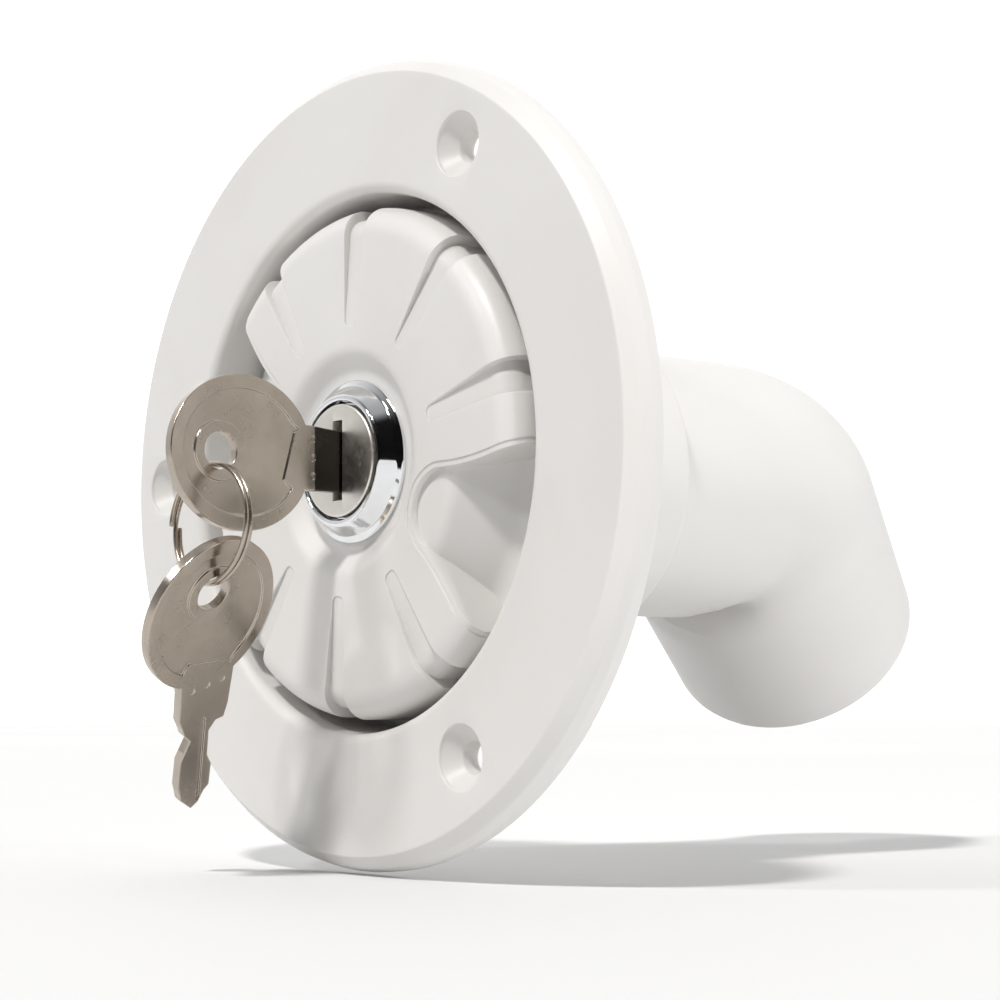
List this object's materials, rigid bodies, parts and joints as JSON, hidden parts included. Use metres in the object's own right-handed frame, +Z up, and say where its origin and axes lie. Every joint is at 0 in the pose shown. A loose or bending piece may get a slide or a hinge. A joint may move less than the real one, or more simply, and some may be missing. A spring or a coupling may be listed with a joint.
{
  "type": "lockable deck fill cap",
  "caption": "Round recessed deck filler with a screw-in locking cap, an angled hose spigot and a pair of keys on a split ring.",
  "frame": {"origin": "centre of the flange's back plane, on the axis of the cap, the lock and the thread", "axes": "+Y into the hull along the cap's axis, +Z up and +X to the right as seen from outside"},
  "size_m": [0.1374, 0.1816, 0.1374],
  "materials": {
    "white_plastic": "satin off-white ABS with a fine mould texture",
    "inner_plastic": "satin off-white ABS",
    "black_rubber": "matt nitrile rubber",
    "chrome": "polished chrome plate",
    "plug_metal": "satin chrome plate",
    "zinc": "bare zinc die casting",
    "brass": "stamped brass",
    "steel": "bright zinc-plated steel",
    "key_nickel": "bright nickel plate"
  },
  "bodies": {
    "filler": {"filler_body": "white_plastic", "hose_elbow": "white_plastic"},
    "seal": {"cap_gasket": "black_rubber"},
    "cap": {"cap_cover": "white_plastic", "cap_plug": "inner_plastic", "cap_screw_1": "steel", "cap_screw_2": "steel", "cap_screw_3": "steel", "cap_screw_4": "steel", "lock_barrel": "chrome", "lock_o_ring": "black_rubber", "lock_nut": "zinc"},
    "plug": {"lock_plug": "plug_metal", "lock_cam": "steel", "cam_washer": "steel", "cam_screw": "steel", "wafer_spring_1": "steel", "wafer_spring_2": "steel", "wafer_spring_3": "steel", "wafer_spring_4": "steel", "wafer_spring_5": "steel"},
    "bolt": {"lock_bolt": "zinc"},
    "wafer_1": {"wafer_1": "brass"},
    "wafer_2": {"wafer_2": "brass"},
    "wafer_3": {"wafer_3": "brass"},
    "wafer_4": {"wafer_4": "brass"},
    "wafer_5": {"wafer_5": "brass"},
    "key": {"key_1": "key_nickel"},
    "ring": {"split_ring": "key_nickel"},
    "spare_key": {"key_2": "key_nickel"}
  },
  "joints": [
    {"name": "cap_lift", "type": "slide", "parent": "filler", "child": "seal", "axis": [0, -1, 0], "range_m": [0, 0.0075]},
    {"name": "cap_turn", "type": "hinge", "parent": "seal", "child": "cap", "pos_m": [0, 0, 0], "axis": [0, -1, 0], "range_deg": [0, 540]},
    {"name": "plug_turn", "type": "hinge", "parent": "cap", "child": "plug", "pos_m": [0, 0, 0], "axis": [0, 1, 0], "range_deg": [0, 90]},
    {"name": "bolt_slide", "type": "slide", "parent": "cap", "child": "bolt", "axis": [0, 0, 1], "range_m": [0, 0.004]},
    {"name": "key_slide", "type": "slide", "parent": "plug", "child": "key", "axis": [0, -1, 0], "range_m": [0, 0.024]},
    {"name": "wafer_1_slide", "type": "slide", "parent": "plug", "child": "wafer_1", "axis": [0, 0, -1], "range_m": [0, 0.0008], "deforming": ["wafer_spring_1"]},
    {"name": "wafer_2_slide", "type": "slide", "parent": "plug", "child": "wafer_2", "axis": [0, 0, -1], "range_m": [0, 0.0008], "deforming": ["wafer_spring_2"]},
    {"name": "wafer_3_slide", "type": "slide", "parent": "plug", "child": "wafer_3", "axis": [0, 0, -1], "range_m": [0, 0.0008], "deforming": ["wafer_spring_3"]},
    {"name": "wafer_4_slide", "type": "slide", "parent": "plug", "child": "wafer_4", "axis": [0, 0, -1], "range_m": [0, 0.0008], "deforming": ["wafer_spring_4"]},
    {"name": "wafer_5_slide", "type": "slide", "parent": "plug", "child": "wafer_5", "axis": [0, 0, -1], "range_m": [0, 0.0008], "deforming": ["wafer_spring_5"]},
    {"name": "ring_swing", "type": "hinge", "parent": "key", "child": "ring", "pos_m": [0, -0.0337, -0.00227], "axis": [-1, 0, 0], "range_deg": [-6, 45]},
    {"name": "spare_key_swing", "type": "hinge", "parent": "ring", "child": "spare_key", "pos_m": [0.00117, -0.03465, -0.02158], "axis": [-0.837, -0.182, 0.516], "range_deg": [-8, 30]}
  ],
  "couplings": [
    {"joint": "cap_lift", "follows": "cap_turn", "m_per_rad": 0.00079577},
    {"joint": "bolt_slide", "follows": "plug_turn", "m_per_rad": 0.0025464},
    {"joint": "wafer_1_slide", "follows": "key_slide", "ratio": 0.03333},
    {"joint": "wafer_2_slide", "follows": "key_slide", "ratio": 0.03333},
    {"joint": "wafer_3_slide", "follows": "key_slide", "ratio": 0.03333},
    {"joint": "wafer_4_slide", "follows": "key_slide", "ratio": 0.03333},
    {"joint": "wafer_5_slide", "follows": "key_slide", "ratio": 0.03333}
  ]
}
